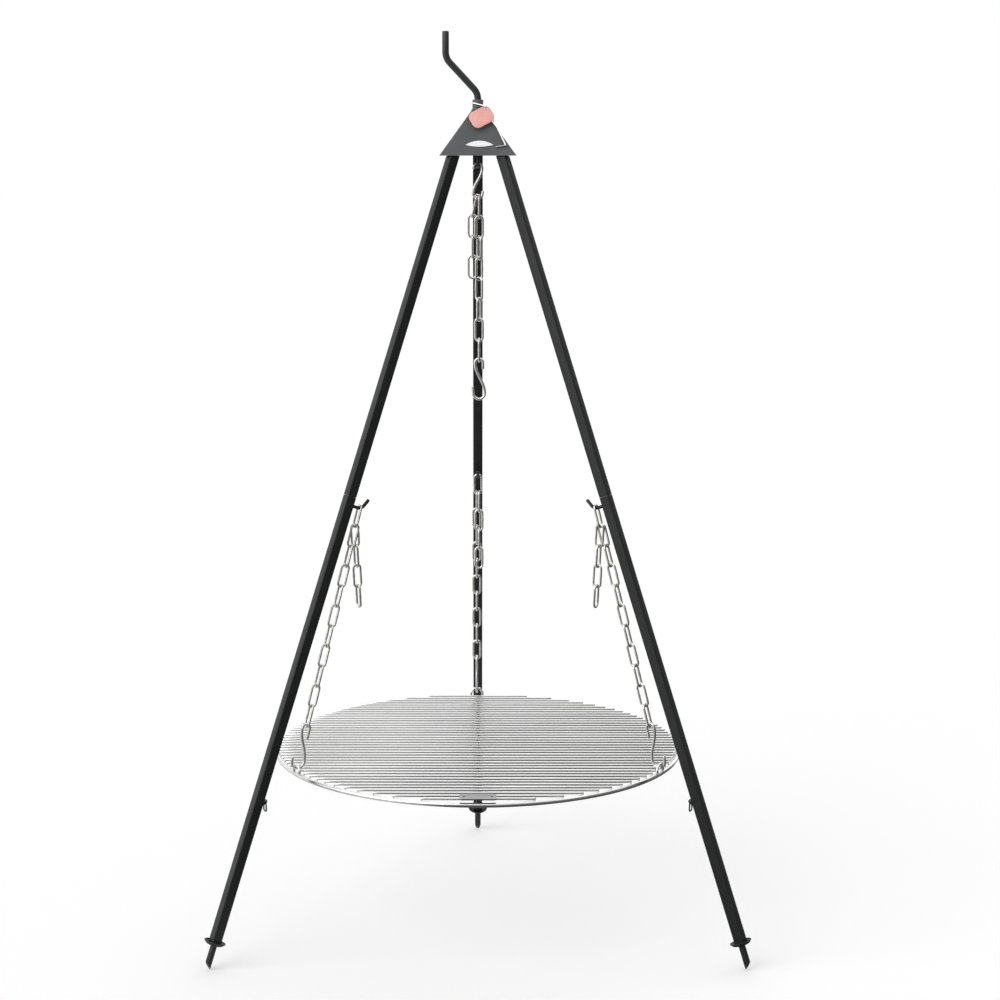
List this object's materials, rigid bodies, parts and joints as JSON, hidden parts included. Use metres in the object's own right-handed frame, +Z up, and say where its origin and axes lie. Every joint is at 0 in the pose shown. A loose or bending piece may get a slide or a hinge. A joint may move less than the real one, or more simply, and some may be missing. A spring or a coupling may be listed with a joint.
{
  "type": "cooking tripod",
  "caption": "Three-legged black steel campfire tripod with a round wire grate hung on chains from the legs, and a pot chain with a hook on a turning rod in its pyramid cap.",
  "frame": {"origin": "on the ground under the tripod's axis, level with the three peg tips", "axes": "+Z up along the tripod's axis, -Y towards the front face of the cap, +X to the right seen from the front"},
  "size_m": [0.8014, 0.7722, 1.3596],
  "materials": {
    "painted_cap": "semi-matte charcoal paint on sheet steel",
    "label": "blank white printed film",
    "wire_tie": "bright bent wire",
    "tag": "plain red plastic",
    "painted_rod": "semi-matte black paint on round bar",
    "stop_ring": "zinc-plated steel",
    "spigot": "bare steel",
    "leg_paint": "semi-matte black paint on square tube",
    "leg_fitting": "black paint on bent rod",
    "peg": "black paint, worn at the tip",
    "chain": "bright zinc-plated steel",
    "s_hook": "bright zinc-plated steel wire",
    "grate_wire": "polished stainless steel wire",
    "grate_plate": "satin stainless steel sheet"
  },
  "bodies": {
    "frame": {"cap": "painted_cap", "collar": "painted_cap", "face_label": "label", "foot_disc_back": "leg_paint", "foot_disc_left": "leg_paint", "foot_disc_right": "leg_paint", "foot_peg_back": "peg", "foot_peg_left": "peg", "foot_peg_right": "peg", "hub_plate": "painted_cap", "leg_hook_back": "leg_fitting", "leg_hook_left": "leg_fitting", "leg_hook_right": "leg_fitting", "leg_stub_back": "spigot", "leg_stub_left": "spigot", "leg_stub_right": "spigot", "lower_tube_back": "leg_paint", "lower_tube_left": "leg_paint", "lower_tube_right": "leg_paint", "ring_lug_back": "leg_fitting", "ring_lug_left": "leg_fitting", "ring_lug_right": "leg_fitting", "spigot_back": "spigot", "spigot_left": "spigot", "spigot_right": "spigot", "tag_wire": "wire_tie", "upper_tube_back": "leg_paint", "upper_tube_left": "leg_paint", "upper_tube_right": "leg_paint"},
    "turning_rod": {"turning_rod": "painted_rod", "rod_stop_ring": "stop_ring"},
    "top_s_hook": {"top_s_hook": "s_hook"},
    "pot_chain": {"centre_chain": "chain"},
    "spare_chain": {"centre_chain_tail": "chain"},
    "pot_hook": {"pot_hook": "s_hook"},
    "tag": {"tag": "tag"},
    "grate": {"grate_rim": "grate_wire", "grate_bars": "grate_wire", "grate_plate": "grate_plate", "grate_eye_left": "grate_wire", "grate_eye_right": "grate_wire", "grate_eye_back": "grate_wire"},
    "hanger_left": {"hooked_link_left": "chain", "side_chain_left": "chain", "grate_s_hook_left": "s_hook"},
    "tail_left": {"chain_tail_left": "chain"},
    "ring_left": {"leg_ring_left": "leg_fitting"},
    "hanger_right": {"hooked_link_right": "chain", "side_chain_right": "chain", "grate_s_hook_right": "s_hook"},
    "tail_right": {"chain_tail_right": "chain"},
    "ring_right": {"leg_ring_right": "leg_fitting"},
    "hanger_back": {"hooked_link_back": "chain", "side_chain_back": "chain", "grate_s_hook_back": "s_hook"},
    "tail_back": {"chain_tail_back": "chain"},
    "ring_back": {"leg_ring_back": "leg_fitting"}
  },
  "joints": [
    {"name": "rod_turn", "type": "hinge", "parent": "frame", "child": "turning_rod", "pos_m": [0, 0, 1.25993], "axis": [0, 0, 1], "continuous": true},
    {"name": "top_hook_swing", "type": "hinge", "parent": "turning_rod", "child": "top_s_hook", "pos_m": [0, 0, 1.1665], "axis": [1, 0, 0], "range_deg": [-10, 10]},
    {"name": "pot_chain_swing", "type": "hinge", "parent": "top_s_hook", "child": "pot_chain", "pos_m": [0, 0, 1.1225], "axis": [0, 1, 0], "range_deg": [-8, 8]},
    {"name": "spare_chain_swing", "type": "hinge", "parent": "pot_chain", "child": "spare_chain", "pos_m": [-0.00175, 0, 1.1155], "axis": [1, 0, 0], "range_deg": [0, 10]},
    {"name": "pot_hook_swing", "type": "hinge", "parent": "pot_chain", "child": "pot_hook", "pos_m": [0.00175, 0, 0.87221], "axis": [0, 1, 0], "range_deg": [-15, 15]},
    {"name": "tag_swing", "type": "hinge", "parent": "frame", "child": "tag", "pos_m": [0.012, -0.01043, 1.24637], "axis": [0, -0.9201, 0.3917], "range_deg": [-8, 0]},
    {"name": "grate_turn", "type": "hinge", "parent": "frame", "child": "grate", "pos_m": [0, 0, 0.28675], "axis": [0, 0, 1], "range_deg": [-4, 4]},
    {"name": "hanger_swing_left", "type": "hinge", "parent": "frame", "child": "hanger_left", "pos_m": [-0.17407, -0.1005, 0.66523], "axis": [-0.866, -0.5, 0], "range_deg": [-3.5, 3.5]},
    {"name": "tail_swing_left", "type": "hinge", "parent": "hanger_left", "child": "tail_left", "pos_m": [-0.18157, -0.10483, 0.63745], "axis": [0.5, -0.866, 0], "range_deg": [0, 12]},
    {"name": "ring_swing_left", "type": "hinge", "parent": "frame", "child": "ring_left", "pos_m": [-0.31292, -0.18066, 0.24046], "axis": [0.5, -0.866, 0], "range_deg": [-15, 15]},
    {"name": "hanger_swing_right", "type": "hinge", "parent": "frame", "child": "hanger_right", "pos_m": [0.17407, -0.1005, 0.66523], "axis": [0.866, -0.5, 0], "range_deg": [-3.5, 3.5]},
    {"name": "tail_swing_right", "type": "hinge", "parent": "hanger_right", "child": "tail_right", "pos_m": [0.18157, -0.10483, 0.63745], "axis": [0.5, 0.866, 0], "range_deg": [0, 12]},
    {"name": "ring_swing_right", "type": "hinge", "parent": "frame", "child": "ring_right", "pos_m": [0.31292, -0.18066, 0.24046], "axis": [0.5, 0.866, 0], "range_deg": [-15, 15]},
    {"name": "hanger_swing_back", "type": "hinge", "parent": "frame", "child": "hanger_back", "pos_m": [0, 0.201, 0.66523], "axis": [0, 1, 0], "range_deg": [-3.5, 3.5]},
    {"name": "tail_swing_back", "type": "hinge", "parent": "hanger_back", "child": "tail_back", "pos_m": [0, 0.20966, 0.63745], "axis": [-1, 0, 0], "range_deg": [0, 12]},
    {"name": "ring_swing_back", "type": "hinge", "parent": "frame", "child": "ring_back", "pos_m": [0, 0.36132, 0.24046], "axis": [-1, 0, 0], "range_deg": [-15, 15]}
  ],
  "couplings": [
    {"joint": "hanger_swing_left", "follows": "grate_turn", "ratio": 0.81906},
    {"joint": "hanger_swing_right", "follows": "grate_turn", "ratio": 0.81906},
    {"joint": "hanger_swing_back", "follows": "grate_turn", "ratio": 0.81906}
  ]
}
